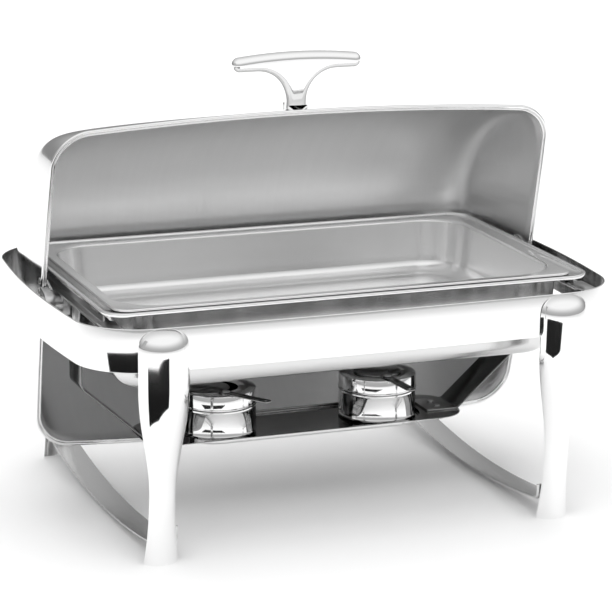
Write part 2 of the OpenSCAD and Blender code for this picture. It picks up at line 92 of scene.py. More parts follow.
# Driving dimensions that a node's box can't give, as the CAD has them. LEG_R is a little under the CAD's,
# so that the round legs stay inside the box of its facets.
BAND_R = 60.0
BAND_BOW_END = 15.0
BAND_BOW_FRONT = 7.5
BAND_T = 1.6
LID_OPEN = math.radians(75)
PIVOT_Z = (shaft_lo.z + shaft_hi.z) / 2
LID_W = lid_hi.x - lid_lo.x
LID_D = 415.6
LID_H = 170.0
LID_T = 1.2
LID_R = 40.0
LID_BOW_END = 4.0
LID_BOW_FRONT = 13.4
RIM_UP = 16.5
ARCH_OFF = 80.0
END_X = 292.5
END_R = 212.0
END_POWER = 7.0
LEG_X = 229.0
LEG_TOP_Y = 205.0
LEG_FOOT_Y = 188.0
LEG_BACK = 9.7
LEG_R = 29.85
LEG_WALL = 3.0
LEG_SOLID = 36.0
LEAN_POWER = 0.75
FOOT_POWER = 2.4
FOOT_R = 21.5
WAIST_R = 17.6
WAIST_Z = 78.0
SHOULDER_Z = 196.0
DOME_Z = 232.0
CROWN_POWER = 2.8
LEG_STEPS, CROWN_STEPS = 60, 18
BACK_CLEAR = 0.3
PAN_T = 1.2


# Outlines --------------------------------------------------------------------------------------
def round_rect(w, d, r, corner=14, side=18):
    """Rounded rectangle, anticlockwise, with points along its sides too."""
    out = []
    for q, (sx, sy) in enumerate(((1, 1), (-1, 1), (-1, -1), (1, -1))):
        for i in range(corner + 1):
            a = math.pi / 2 * (q + i / corner)
            out.append((sx * (w / 2 - r) + r * math.cos(a), sy * (d / 2 - r) + r * math.sin(a)))
        nx, ny = ((-1, 1), (-1, -1), (1, -1), (1, 1))[q]
        a = math.pi / 2 * (q + 1)
        end = (nx * (w / 2 - r) + r * math.cos(a), ny * (d / 2 - r) + r * math.sin(a))
        start = out[-1]
        for i in range(1, side):
            t = i / side
            out.append((start[0] + (end[0] - start[0]) * t, start[1] + (end[1] - start[1]) * t))
    return out


def bowed(w, d, r, bow_end, bow_front, **counts):
    """Rounded rectangle whose ends and fronts pull in towards the corners."""
    out = []
    for x, y in round_rect(w, d, r, **counts):
        pull_x = bow_end * (2 * y / d) ** 2 * min(1.0, 4 * abs(x) / w)
        pull_y = bow_front * (2 * x / w) ** 2 * min(1.0, 4 * abs(y) / d)
        out.append((x - math.copysign(pull_x, x), y - math.copysign(pull_y, y)))
    return out


def inward_normals(outline):
    """Unit normals that point into an anticlockwise outline."""
    out = []
    n = len(outline)
    for i in range(n):
        ax, ay = outline[i - 1]
        bx, by = outline[(i + 1) % n]
        dx, dy = bx - ax, by - ay
        size = math.hypot(dx, dy)
        out.append((-dy / size, dx / size))
    return out


def fillet_path(points, radii):
    """Polyline with its inner corners rounded."""
    out = [points[0]]
    for i in range(1, len(points) - 1):
        p, a, b = Vector(points[i]), Vector(points[i - 1]), Vector(points[i + 1])
        u, v = (a - p).normalized(), (b - p).normalized()
        half = math.acos(max(-1, min(1, u.dot(v)))) / 2
        r = radii[i - 1]
        cut = r / math.tan(half)
        centre = p + (u + v).normalized() * (r / math.sin(half))
        start, end = p + u * cut - centre, p + v * cut - centre
        turn = start.angle_signed(end)
        steps = 8
        for k in range(steps + 1):
            c = math.cos(-turn * k / steps)
            s = math.sin(-turn * k / steps)
            out.append((centre.x + start.x * c - start.y * s, centre.y + start.x * s + start.y * c))
    out.append(points[-1])
    return out


# Mesh building ---------------------------------------------------------------------------------
WELD = 1e-6
BEVEL_FROM = math.radians(40)
MADE_SHARP = math.radians(50)
MERGE_BELOW = math.radians(1)


class Build:
    """Vertices in millimetres, and faces, for one piece."""

    def __init__(self):
        self.verts = []
        self.faces = []

    def ring(self, points):
        start = len(self.verts)
        self.verts.extend(points)
        return list(range(start, len(self.verts)))

    def bridge(self, a, b, closed=True):
        n = len(a)
        for i in range(n if closed else n - 1):
            j = (i + 1) % n
            self.faces.append((a[i], a[j], b[j], b[i]))

    def loft(self, rings, closed=True, cap=(False, False), join_ends=False):
        made = [self.ring(r) for r in rings]
        for a, b in zip(made, made[1:]):
            self.bridge(a, b, closed)
        if join_ends:
            self.bridge(made[-1], made[0], closed)
        if cap[0]:
            self.faces.append(tuple(reversed(made[0])))
        if cap[1]:
            self.faces.append(tuple(made[-1]))
        return made


def piece(name, build, body, nodes, materials, sharp=40, place=None, sheet=0.0, offset=-1.0, bevel=0.0,
          backing=0):
    """One visible piece: mesh, thickness, edge rounding, materials, and where it belongs."""
    mesh = bpy.data.meshes.new(name)
    place = place or (lambda p: p)
    mesh.from_pydata([Vector(place(Vector(v))) * MM for v in build.verts], [], build.faces)
    mesh.update()
    bm = bmesh.new()
    bm.from_mesh(mesh)
    bmesh.ops.remove_doubles(bm, verts=bm.verts, dist=WELD)
    bmesh.ops.recalc_face_normals(bm, faces=bm.faces)
    bm.to_mesh(mesh)
    bm.free()
    obj = bpy.data.objects.new(name, mesh)
    bpy.context.scene.collection.objects.link(obj)
    for m in materials:
        mesh.materials.append(m)
    if sheet:
        solid = obj.modifiers.new("thickness", "SOLIDIFY")
        solid.thickness = sheet * MM
        solid.offset = offset
        solid.use_even_offset = True
        solid.material_offset = backing
    if bevel:
        edge = obj.modifiers.new("edges", "BEVEL")
        edge.width = bevel * MM
        edge.segments = 3
        edge.limit_method = "ANGLE"
        edge.angle_limit = BEVEL_FROM
    apply_modifiers(obj)
    obj.data.shade_smooth()
    obj.data.set_sharp_from_angle(angle=math.radians(sharp))
    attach(obj, body)
    if nodes:
        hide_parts(*nodes)
    return obj


def apply_modifiers(obj):
    """Swap the object's mesh for the one its modifiers make."""
    bpy.context.view_layer.update()
    graph = bpy.context.evaluated_depsgraph_get()
    mesh = bpy.data.meshes.new_from_object(obj.evaluated_get(graph), preserve_all_data_layers=True,
                                           depsgraph=graph)
    obj.modifiers.clear()
    obj.data = mesh


def dressed(node, body, material, bevel=0.4, sharp=35):
    """A copy of a CAD node with its flat facets merged and its edges rounded."""
    source = next(o for o in bpy.data.objects if o.get("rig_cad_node") == node)
    mesh = source.data.copy()
    bm = bmesh.new()
    bm.from_mesh(mesh)
    bmesh.ops.remove_doubles(bm, verts=bm.verts, dist=WELD)
    bmesh.ops.dissolve_limit(bm, angle_limit=MERGE_BELOW, verts=bm.verts, edges=bm.edges)
    bm.to_mesh(mesh)
    bm.free()
    mesh.materials.clear()
    mesh.materials.append(material)
    obj = bpy.data.objects.new(node + "_made", mesh)
    bpy.context.scene.collection.objects.link(obj)
    edge = obj.modifiers.new("edges", "BEVEL")
    edge.width = bevel * MM
    edge.segments = 2
    edge.limit_method = "ANGLE"
    edge.angle_limit = math.radians(sharp)
    apply_modifiers(obj)
    obj.data.shade_smooth()
    obj.data.set_sharp_from_angle(angle=MADE_SHARP)
    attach(obj, body)
    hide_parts(node)


def turned(profile, centre, steps=96):
    """Lathe of a closed (radius, z) loop about a vertical axis."""
    b = Build()
    rings = []
    for i in range(steps):
        a = 2 * math.pi * i / steps
        rings.append([(centre[0] + r * math.cos(a), centre[1] + r * math.sin(a), z) for r, z in profile])
    b.loft(rings, closed=True, join_ends=True)
    return b


STRIP_EDGE, STRIP_EDGE_SHARE = 0.8, 0.45


def strip(path, half, thick, place):
    """Bent flat bar along a 2D path: rounded long edges, width 2*half."""
    e = min(STRIP_EDGE, thick * STRIP_EDGE_SHARE)
    section = []
    for cx, cy, a0 in ((half - e, thick / 2 - e, 0), (-half + e, thick / 2 - e, 90),
                       (-half + e, -thick / 2 + e, 180), (half - e, -thick / 2 + e, 270)):
        for k in range(4):
            a = math.radians(a0 + 30 * k)
            section.append((cx + e * math.cos(a), cy + e * math.sin(a)))
    rings = []
    n = len(path)
    for i, p in enumerate(path):
        a = Vector(path[max(i - 1, 0)])
        c = Vector(path[min(i + 1, n - 1)])
        t = (c - a).normalized()
        normal = Vector((-t.y, t.x))
        bend = 1.0
        if 0 < i < n - 1:
            t1 = (Vector(p) - a).normalized()
            bend = 1 / max(0.5, math.cos(t1.angle(t)))
        rings.append([place(p[0] + normal.x * q * bend, p[1] + normal.y * q * bend, w) for w, q in section])
    b = Build()
    b.loft(rings, closed=True, cap=(True, True))
    return b


# Materials -------------------------------------------------------------------------------------
GRAIN_LOW, GRAIN_HIGH = 0.25, 0.75
RUBBED_AND_HIGHLIT_LOW, RUBBED_AND_HIGHLIT_HIGH = 0.52, 0.62
BUMP_DEPTH = 0.0004


def steel(name, grey, rough, brush=(1, 1, 1), grain=0.0, spread=0.04, mottle=0.0, wear_and_highlight=0.05, bump=0.0):
    """Bare steel: stretched grain in roughness, height and tone, soft mottling, brighter edges: rubbed metal,
    and where the brightening is large, a painted highlight.
    """
    mat = bpy.data.materials.new(name)
    mat.use_nodes = True
    nodes, links = mat.node_tree.nodes, mat.node_tree.links
    shader = nodes["Principled BSDF"]
    shader.inputs["Metallic"].default_value = 1.0
    where = nodes.new("ShaderNodeTexCoord")
    stretch = nodes.new("ShaderNodeMapping")
    stretch.inputs["Scale"].default_value = brush
    links.new(where.outputs["Object"], stretch.inputs["Vector"])
    fine = nodes.new("ShaderNodeTexNoise")
    fine.inputs["Scale"].default_value = 1.0
    fine.inputs["Detail"].default_value = 5.0
    fine.inputs["Roughness"].default_value = 0.6
    links.new(stretch.outputs["Vector"], fine.inputs["Vector"])
    broad = nodes.new("ShaderNodeTexNoise")
    broad.inputs["Scale"].default_value = 9.0
    broad.inputs["Detail"].default_value = 3.0
    links.new(where.outputs["Object"], broad.inputs["Vector"])

    def remap(source, low, high):
        node = nodes.new("ShaderNodeMapRange")
        node.inputs["From Min"].default_value = GRAIN_LOW
        node.inputs["From Max"].default_value = GRAIN_HIGH
        node.inputs["To Min"].default_value = low
        node.inputs["To Max"].default_value = high
        links.new(source, node.inputs["Value"])
        return node.outputs["Result"]

    def add(a, b):
        node = nodes.new("ShaderNodeMath")
        node.operation = "ADD"
        node.use_clamp = True
        links.new(a, node.inputs[0])
        links.new(b, node.inputs[1])
        return node.outputs["Value"]

    links.new(add(remap(fine.outputs["Fac"], rough - spread / 2, rough + spread / 2),
                  remap(broad.outputs["Fac"], 0.0, mottle)), shader.inputs["Roughness"])
    # Edge brightening by pointiness: rubbed metal at small amounts; the large amounts on the tray and hanger
    # are a painted highlight.
    edge = nodes.new("ShaderNodeNewGeometry")
    rubbed_and_highlit = nodes.new("ShaderNodeMapRange")
    rubbed_and_highlit.inputs["From Min"].default_value = RUBBED_AND_HIGHLIT_LOW
    rubbed_and_highlit.inputs["From Max"].default_value = RUBBED_AND_HIGHLIT_HIGH
    rubbed_and_highlit.inputs["To Max"].default_value = wear_and_highlight
    links.new(edge.outputs["Pointiness"], rubbed_and_highlit.inputs["Value"])
    tone = add(remap(fine.outputs["Fac"], grey - grain, grey + grain), rubbed_and_highlit.outputs["Result"])
    colour = nodes.new("ShaderNodeCombineColor")
    for channel in ("Red", "Green", "Blue"):
        links.new(tone, colour.inputs[channel])
    links.new(colour.outputs["Color"], shader.inputs["Base Color"])
    if bump:
        height = nodes.new("ShaderNodeBump")
        height.inputs["Strength"].default_value = bump
        height.inputs["Distance"].default_value = BUMP_DEPTH
        links.new(fine.outputs["Fac"], height.inputs["Height"])
        links.new(height.outputs["Normal"], shader.inputs["Normal"])
    return mat


mirror = steel("steel_mirror", 0.93, 0.035, brush=(40, 40, 40), spread=0.015, mottle=0.02)
band_steel = steel("steel_band", 0.93, 0.06, brush=(6, 6, 260), spread=0.02, mottle=0.03)
# inside of the band: the dark grey is painted shade; the streaky grain is the steel's own
band_inside_painted_shade = steel("steel_band_inside", 0.30, 0.22, brush=(90, 90, 3), spread=0.10, grain=0.20, mottle=0.04)
lid_outer = steel("steel_lid_outside", 0.90, 0.08, brush=(20, 20, 20), spread=0.02, mottle=0.03)
lid_inner = steel("steel_lid_inside", 0.88, 0.36, brush=(160, 4, 4), spread=0.07, grain=0.015, mottle=0.05,
                  bump=0.03)
pan_satin = steel("steel_food_pan", 0.93, 0.22, brush=(5, 160, 40), spread=0.04, grain=0.004, mottle=0.02)
pan_under = steel("steel_pan_outside", 0.72, 0.18, brush=(5, 140, 140), spread=0.04, grain=0.01, mottle=0.05)
water_steel = steel("steel_water_pan", 0.88, 0.08, brush=(5, 140, 140), spread=0.03, mottle=0.03)
satin = steel("steel_satin", 0.62, 0.28, brush=(140, 8, 140), spread=0.06, grain=0.02, mottle=0.05, bump=0.03)
strap_steel = steel("steel_strap", 0.66, 0.20, brush=(200, 8, 200), spread=0.05, grain=0.01, mottle=0.04)
# fuel tray: the strong edge brightening paints a highlight on its lip
tray_steel = steel("steel_tray", 0.36, 0.12, brush=(8, 140, 140), spread=0.03, grain=0.01, mottle=0.04,
                   wear_and_highlight=0.5)
tray_under = steel("steel_tray_edge", 0.85, 0.10, brush=(8, 140, 140), spread=0.03, mottle=0.04)
# hanger and damper: the strong edge brightening paints a highlight on their edges
hanger_steel = steel("steel_hanger", 0.14, 0.14, brush=(160, 160, 8), spread=0.03, grain=0.01, mottle=0.03,
                     wear_and_highlight=0.7)
burner_steel = steel("steel_burner", 0.90, 0.05, brush=(60, 60, 8), spread=0.02, mottle=0.02)
fastener = steel("steel_fastener", 0.60, 0.30, brush=(120, 120, 120), spread=0.08, grain=0.02, mottle=0.05)

# Band --------------------------------------------------------------------------------------------
band_w = band_hi.x - band_lo.x
band_d = band_hi.y - band_lo.y
outline = bowed(band_w, band_d, BAND_R, BAND_BOW_END, BAND_BOW_FRONT, corner=28, side=36)
normals = inward_normals(outline)
BAND_EDGE_STEPS = 6
INWARD = -0.02
section = []
for zc, up in ((band_hi.z - BAND_T / 2, 1), (band_lo.z + BAND_T / 2, -1)):
    for k in range(BAND_EDGE_STEPS + 1):
        a = math.pi * k / BAND_EDGE_STEPS
        section.append((BAND_T / 2 - up * BAND_T / 2 * math.cos(a), zc + up * BAND_T / 2 * math.sin(a)))
b = Build()
b.loft([[(x + nx * o, y + ny * o, z) for o, z in section] for (x, y), (nx, ny) in zip(outline, normals)],
       closed=True, join_ends=True)
band = piece("band", b, "frame", ["frame_band"], [band_steel, band_inside_painted_shade], sharp=60)
# faces that look at the middle take the inside material: its dark tone is painted shade inside the band, its
# vertical grain is the steel's own
for face in band.data.polygons:
    if face.normal.x * face.center.x + face.normal.y * face.center.y < INWARD:
        face.material_index = 1


# Legs --------------------------------------------------------------------------------------------
def leg_radius(z):
    """Foot flare, waist, shoulder and rounded crown."""
    if z > DOME_Z:
        return LEG_R * max(0.0, 1 - ((z - DOME_Z) / (leg_hi.z - DOME_Z)) ** CROWN_POWER) ** (1 / CROWN_POWER)
    if z > WAIST_Z:
        return WAIST_R + (LEG_R - WAIST_R) * smoothstep((z - WAIST_Z) / (SHOULDER_Z - WAIST_Z))
    return WAIST_R + (FOOT_R - WAIST_R) * (1 - z / WAIST_Z) ** FOOT_POWER


def leg_axis(z):
    """How far out the leg's middle stands at height z: it leans in towards the foot."""
    return LEG_FOOT_Y + (LEG_TOP_Y - LEG_FOOT_Y) * min(1.0, z / SHOULDER_Z) ** LEAN_POWER


def leg_arc(z, inset, steps=40):
    """Half-round section at height z, from the flat back round the front."""
    r = max(leg_radius(z) - inset, LEG_BACK + BACK_CLEAR)
    a0 = math.asin(LEG_BACK / r)
    return [(LEG_X + r * math.cos(a0 + (math.pi - 2 * a0) * i / steps),
             -leg_axis(z) - r * math.sin(a0 + (math.pi - 2 * a0) * i / steps), z) for i in range(steps + 1)]


def leg_levels(z0, z1):
    """Heights of the leg's rings: even up to the crown, closer towards its top."""
    low = [z0 + (DOME_Z - z0) * i / LEG_STEPS for i in range(LEG_STEPS + 1)]
    crown = [math.sin(math.pi / 2 * i / CROWN_STEPS) for i in range(1, CROWN_STEPS)]
    return low + [DOME_Z + (z1 - DOME_Z) * t for t in crown]


def leg_build():
    """A half-round leg, hollow above LEG_SOLID, with a flat back."""
    top = DOME_Z + (leg_hi.z - DOME_Z) * (1 - (LEG_BACK / LEG_R) ** CROWN_POWER) ** (1 / CROWN_POWER)
    b = Build()
    outer = [leg_arc(z, 0) for z in leg_levels(0.0, top)]
    inner = [leg_arc(z, LEG_WALL) for z in leg_levels(LEG_SOLID, top - LEG_WALL)]
    outer_rings = b.loft(outer, closed=False)
    inner_rings = b.loft(inner, closed=False)
    # flat back: the cut faces of the shell, the solid foot and the closed top
    k = 0
    while outer[k][0][2] < LEG_SOLID:
        k += 1
    rails = [([r[0] for r in outer_rings], [r[0] for r in inner_rings]),
             ([r[-1] for r in outer_rings], [r[-1] for r in inner_rings])]
    n_in = len(inner_rings)
    for out_side, in_side in rails:
        for i in range(k, len(out_side) - 1):
            t0 = min(n_in - 1, round((i - k) * (n_in - 1) / (len(out_side) - 1 - k)))
            t1 = min(n_in - 1, round((i + 1 - k) * (n_in - 1) / (len(out_side) - 1 - k)))
            face = [out_side[i], out_side[i + 1], in_side[t1]]
            if t1 != t0:
                face.append(in_side[t0])
            b.faces.append(tuple(face))
    b.faces.append(tuple(outer_rings[0]))
    b.faces.append(tuple(outer_rings[-1]))
    b.faces.append(tuple(inner_rings[0]))
    b.faces.append(tuple(inner_rings[-1]))
    # back of the foot
    left = [r[0] for r in outer_rings[:k + 1]]
    right = [r[-1] for r in outer_rings[:k + 1]]
    b.bridge(left, right, closed=False)
    b.faces.append((left[-1], inner_rings[0][0], inner_rings[0][-1], right[-1]))
    b.faces.append((outer_rings[-1][0], inner_rings[-1][0], inner_rings[-1][-1], outer_rings[-1][-1]))
    return b


for sx, side in ((-1, "left"), (1, "right")):
    for sy, end in ((1, "front"), (-1, "rear")):
        node = "leg_%s_%s" % (end, side)
        piece("leg_%s_%s_half_round" % (end, side), leg_build(), "frame", [node], [mirror],
              sharp=38, place=lambda p, sx=sx, sy=sy: (sx * p.x, sy * p.y, p.z), bevel=0.5)

# Stretcher straps ----------------------------------------------------------------------------------
STRAP_T = 2.5
STRAP_LOW = strap_lo.z
STRAP_RISE = 16.0
STRAP_TURN = 3.0
SAG_REACH = 0.985
SAG_STEPS = 48
strap_half = strap_hi.y - STRAP_T / 2
strap_mid = STRAP_LOW + STRAP_T / 2
along = [SAG_REACH * (2 * i / SAG_STEPS - 1) for i in range(SAG_STEPS + 1)]
sag = [(strap_half * t, strap_mid + STRAP_RISE * t * t) for t in along]
ends = [(-strap_half, strap_hi.z), (-strap_half, strap_mid + STRAP_RISE + STRAP_TURN)]
path = ends + sag + [(-y, z) for y, z in reversed(ends)]
for sx, side in ((-1, "left"), (1, "right")):
    centre = sx * (strap_lo.x + strap_hi.x) / 2
    b = strip(path, (strap_hi.x - strap_lo.x) / 2, STRAP_T, lambda y, z, w, c=centre: (c + w, y, z))
    piece("strap_" + side, b, "frame", ["stretcher_" + side], [strap_steel])

# Hangers -------------------------------------------------------------------------------------------
HANGER_T = 2.0
HANGER_WALL_X = 262.0
HANGER_KNEE_Z = 147.0
HANGER_FOOT_X = 190.0
HANGER_BENDS = [3.0, 9.0, 6.0]
h = HANGER_T / 2
wall_x = HANGER_WALL_X + h
tab_z, foot_z = hanger_hi.z - h, hanger_lo.z + h
for sx, side in ((-1, "left"), (1, "right")):
    path = fillet_path([(hanger_hi.x, tab_z), (wall_x, tab_z), (wall_x, HANGER_KNEE_Z),
                        (HANGER_FOOT_X, foot_z), (hanger_lo.x, foot_z)], HANGER_BENDS)
    b = strip(path, (hanger_hi.y - hanger_lo.y) / 2, HANGER_T, lambda x, z, w, sx=sx: (sx * x, w, z))
    piece("hanger_" + side, b, "frame", ["tray_hanger_" + side], [hanger_steel])


# Sheet pans: a stack of rounded rectangles from the outer edge to the floor ---------------------------
def pan(name, rows, centre_y, body, node, materials, thick):
    """rows: (width, depth, corner radius, z) from the outside edge inwards."""
    b = Build()
    rings = [[(x, y + centre_y, z) for x, y in round_rect(w, d, r, corner=16, side=24)]
             for w, d, r, z in rows]
    b.loft(rings, closed=True, cap=(False, True))
    return piece(name, b, body, [node], materials, sheet=thick, backing=1, sharp=50)


LEAST_CORNER = 0.5


def arc_rows(w, d, r, z, radius, a0, a1, steps):
    """Rows along a quarter-like arc: (w, d, r, z) is the arc's centre measured as an outline."""
    out = []
    for i in range(steps + 1):
        a = math.radians(a0 + (a1 - a0) * i / steps)
        o = radius * math.cos(a)
        out.append((w + 2 * o, d + 2 * o, max(r + o, LEAST_CORNER), z + radius * math.sin(a)))
    return out


pan_y = (water_lo.y + water_hi.y) / 2
water_w, water_d = water_hi.x - water_lo.x, water_hi.y - water_lo.y
food_w, food_d = food_hi.x - food_lo.x, food_hi.y - food_lo.y
RIM_Z = water_hi.z
LEDGE = 2.5
RIM_H = LEDGE + PAN_T
# The last CAD rounds the water pan's rim corners to 33 mm. This rim still has the 28 mm of the one before.
WATER_R, FOOD_R = 28.0, 18.0
WATER_WELL_R, FOOD_WELL_R = 42.0, 48.0
RIM_ROLL = 1.6
CURB = 5.0
WATER_SURROUND, FOOD_SURROUND = 42.0, 22.0
WATER_MOUTH, FOOD_MOUTH, WELL_FOOT = 3.0, 3.5, 18.0
FLANGE_ROLL = 1.2
FLANGE_SHORT = 0.2
# How much a well's outline is smaller, and its corner radius, above its foot and at its foot
LEAN, LEAN_R = 8.0, 2.0
FOOT_LEAN, FOOT_LEAN_R = 10.0, 3.0
BLEND_IN = 2.0
WALL_FOOT = 4.0


def inside_of(w, d, surround):
    """Size of a well's inside: the pan less its surround and its sheet."""
    return w - surround - 2 * PAN_T, d - surround - 2 * PAN_T


def well_rows(w, d, r, top, floor, mouth, foot):
    """A well's inside from its flange: rounded mouth, walls that lean in, rounded foot."""
    wide = 2 * (mouth + BLEND_IN)
    out = [(w + wide, d + wide, r + mouth + BLEND_IN, top)]
    out += arc_rows(w + 2 * mouth, d + 2 * mouth, r + mouth, top - mouth, mouth, 90, 180, 6)
    out += [(w - LEAN, d - LEAN, r - LEAN_R, floor + foot + WALL_FOOT)]
    narrow = FOOT_LEAN + 2 * foot
    out += arc_rows(w - narrow, d - narrow, r - FOOT_LEAN_R - foot, floor + foot, foot, 0, -90, 10)
    return out


# The water pan's rim rolls over to a curb: pull-in of its outline and of its corner, drop from the top
curb_inner = [(CURB - 1.4, CURB - 1.4, 0.0), (CURB - 0.4, CURB, 0.4), (CURB, CURB, LEDGE - 0.5),
              (CURB + 0.5, CURB, LEDGE)]
rows = [(water_w, water_d, WATER_R, RIM_Z - RIM_H)]
rows += arc_rows(water_w - 2 * RIM_ROLL, water_d - 2 * RIM_ROLL, WATER_R - RIM_ROLL, RIM_Z - RIM_ROLL,
                 RIM_ROLL, 0, 90, 6)
rows += [(water_w - 2 * pull, water_d - 2 * pull, WATER_R - corner, RIM_Z - drop)
         for pull, corner, drop in curb_inner]
rows += well_rows(*inside_of(water_w, water_d, WATER_SURROUND), WATER_WELL_R, RIM_Z - LEDGE,
                  water_lo.z + PAN_T, WATER_MOUTH, WELL_FOOT)
pan("water_pan_made", rows, pan_y, "water_pan", "water_pan", [water_steel, pan_under], PAN_T)

rows = [(food_w, food_d, FOOD_R, food_hi.z - LEDGE + FLANGE_SHORT)]
rows += arc_rows(food_w - 2 * FLANGE_ROLL, food_d - 2 * FLANGE_ROLL, FOOD_R - FLANGE_ROLL,
                 food_hi.z - FLANGE_ROLL, FLANGE_ROLL, 0, 90, 5)
rows += well_rows(*inside_of(food_w, food_d, FOOD_SURROUND), FOOD_WELL_R, food_hi.z, food_lo.z + PAN_T,
                  FOOD_MOUTH, WELL_FOOT)
pan("food_pan_made", rows, pan_y, "food_pan", "food_pan", [pan_satin, pan_under], PAN_T)

# Fuel tray: a flat plate with rounded ends and a pressed recess for the burners ------------------------
TRAY_T = 1.5
TRAY_R, RECESS_R = 34.0, 42.0
RECESS_W, RECESS_D = 294.0, 98.0
PLATE_EDGE, PLATE_SHORT = 0.6, 0.3
RECESS_MOUTH, RECESS_FOOT = 0.8, 1.5
tray_w, tray_d = tray_hi.x - tray_lo.x, tray_hi.y - tray_lo.y
tray_y = (tray_lo.y + tray_hi.y) / 2
tray_floor = tray_lo.z + TRAY_T
recess_w, recess_d = RECESS_W - 2 * TRAY_T, RECESS_D - 2 * TRAY_T
rows = [(tray_w, tray_d, TRAY_R, tray_hi.z - TRAY_T + PLATE_SHORT)]
rows += arc_rows(tray_w - 2 * PLATE_EDGE, tray_d - 2 * PLATE_EDGE, TRAY_R - PLATE_EDGE,
                 tray_hi.z - PLATE_EDGE, PLATE_EDGE, 0, 90, 4)
rows += arc_rows(recess_w + 2 * RECESS_MOUTH, recess_d + 2 * RECESS_MOUTH, RECESS_R,
                 tray_hi.z - RECESS_MOUTH, RECESS_MOUTH, 90, 180, 4)
rows += arc_rows(recess_w - 2 * RECESS_FOOT, recess_d - 2 * RECESS_FOOT, RECESS_R - 2 * RECESS_FOOT,
                 tray_floor + RECESS_FOOT, RECESS_FOOT, 0, -90, 5)
pan("fuel_tray_made", rows, tray_y, "frame", "fuel_tray", [tray_steel, tray_under], TRAY_T)


# Lid -------------------------------------------------------------------------------------------------
def opened(p):
    """From the shut lid's own frame, about the hinge axis, to the rest pose."""
    c, s = math.cos(-LID_OPEN), math.sin(-LID_OPEN)
    return (p.x, p.y * c - p.z * s, PIVOT_Z + p.y * s + p.z * c)


ARCH_B = LID_H + ARCH_OFF
RIM_IN = 2.0
ARCH_A = (LID_D / 2 - RIM_IN) / math.sin(math.acos(ARCH_OFF / ARCH_B))
BLEND = 22.0
FLARE, FLARE_POWER = 13.0, 2.2
FLARE_FROM = 60.0
END_STOP = 2.0
END_SAMPLES = 2000
BUNCH = 0.12


def arch_reach(phi, x):
    """Distance from the hinge axis to the arch, at polar angle phi above the rim."""
    f = 1 - LID_BOW_FRONT / (LID_D / 2) * (2 * x / LID_W) ** 2
    c, s = math.cos(phi), math.sin(phi)
    qa = (c / (ARCH_A * f)) ** 2 + (s / ARCH_B) ** 2
    qb = 2 * s * (ARCH_OFF - RIM_UP) / ARCH_B ** 2
    qc = ((ARCH_OFF - RIM_UP) / ARCH_B) ** 2 - 1
    return (-qb + math.sqrt(qb * qb - 4 * qa * qc)) / (2 * qa)


def reach(phi, x, end):
    """Distance from the hinge axis to the dome: the arch and the end profile, blended."""
    return (arch_reach(phi, x) ** -BLEND + end ** -BLEND) ** (-1 / BLEND)


def inside_rim(x, y, inset):
    """True where (x, y) is inside the lid's outline pulled in by inset."""
    w, d, r = LID_W - 2 * inset, LID_D - 2 * inset, LID_R - inset
    px = abs(x) + LID_BOW_END * (2 * y / d) ** 2 - (w / 2 - r)
    py = abs(y) + LID_BOW_FRONT * (2 * x / w) ** 2 - (d / 2 - r)
    return math.hypot(max(px, 0), max(py, 0)) + min(max(px, py), 0) < r


def to_rim(x, y, inset):
    """Scale that puts (x, y) on the outline pulled in by inset."""
    lo, hi = 0.8, 1.3
    for _ in range(24):
        mid = (lo + hi) / 2
        if inside_rim(x * mid, y * mid, inset):
            lo = mid
        else:
            hi = mid
    return lo


def end_curve(count):
    """(x, reach) along the dome's end profile at even spacing, from the middle to the end's centre."""
    raw = []
    for i in range(END_SAMPLES + 1):
        a = math.pi / 2 * i / END_SAMPLES
        raw.append((END_X * math.sin(a) ** (2 / END_POWER), END_R * math.cos(a) ** (2 / END_POWER)))
    run = [0.0]
    for p, q in zip(raw, raw[1:]):
        run.append(run[-1] + math.hypot(q[0] - p[0], q[1] - p[1]))
    out = []
    j = 0
    last = RIM_UP + END_STOP
    for k in range(count + 1):
        goal = run[-1] * k / count
        while run[j + 1] < goal and j < len(raw) - 2:
            j += 1
        t = (goal - run[j]) / max(run[j + 1] - run[j], 1e-9)
        x = raw[j][0] + (raw[j + 1][0] - raw[j][0]) * t
        r = raw[j][1] + (raw[j + 1][1] - raw[j][1]) * t
        if r < last:
            break
        out.append((x, r))
    out.append((END_X, last))
    return out


def dome_row(x, end, steps=120):
    """Points over the dome at x, from its front rim to its rear rim, flared out to meet the rolled rim."""
    phi0 = 0.05
    for _ in range(20):
        phi0 = math.asin(min(0.999, RIM_UP / reach(phi0, x, end)))
    row = []
    for j in range(steps + 1):
        t = j / steps
        t -= BUNCH * math.sin(2 * math.pi * t)
        phi = phi0 + (math.pi - 2 * phi0) * t
        r = reach(phi, x, end)
        y, z = r * math.cos(phi), r * math.sin(phi)
        px, py = x, y
        up = z - RIM_UP
        if up < FLARE:
            k = to_rim(x, y, RIM_IN) if math.hypot(x, y) > FLARE_FROM else 1.0
            f = (1 - up / FLARE) ** FLARE_POWER
            px, py = x * (1 + (k - 1) * f), y * (1 + (k - 1) * f)
        row.append((px, py, max(z, RIM_UP)))
    return row


half = end_curve(110)
b = Build()
rows = [[(-x, y, z) for x, y, z in dome_row(x, r)] for x, r in reversed(half[1:])]
rows += [dome_row(x, r) for x, r in half]
b.loft(rows, closed=False)
piece("lid_dome", b, "lid", ["lid_shell"], [lid_outer, lid_inner], place=opened, sheet=LID_T,
      offset=-1.0, backing=1, sharp=60)

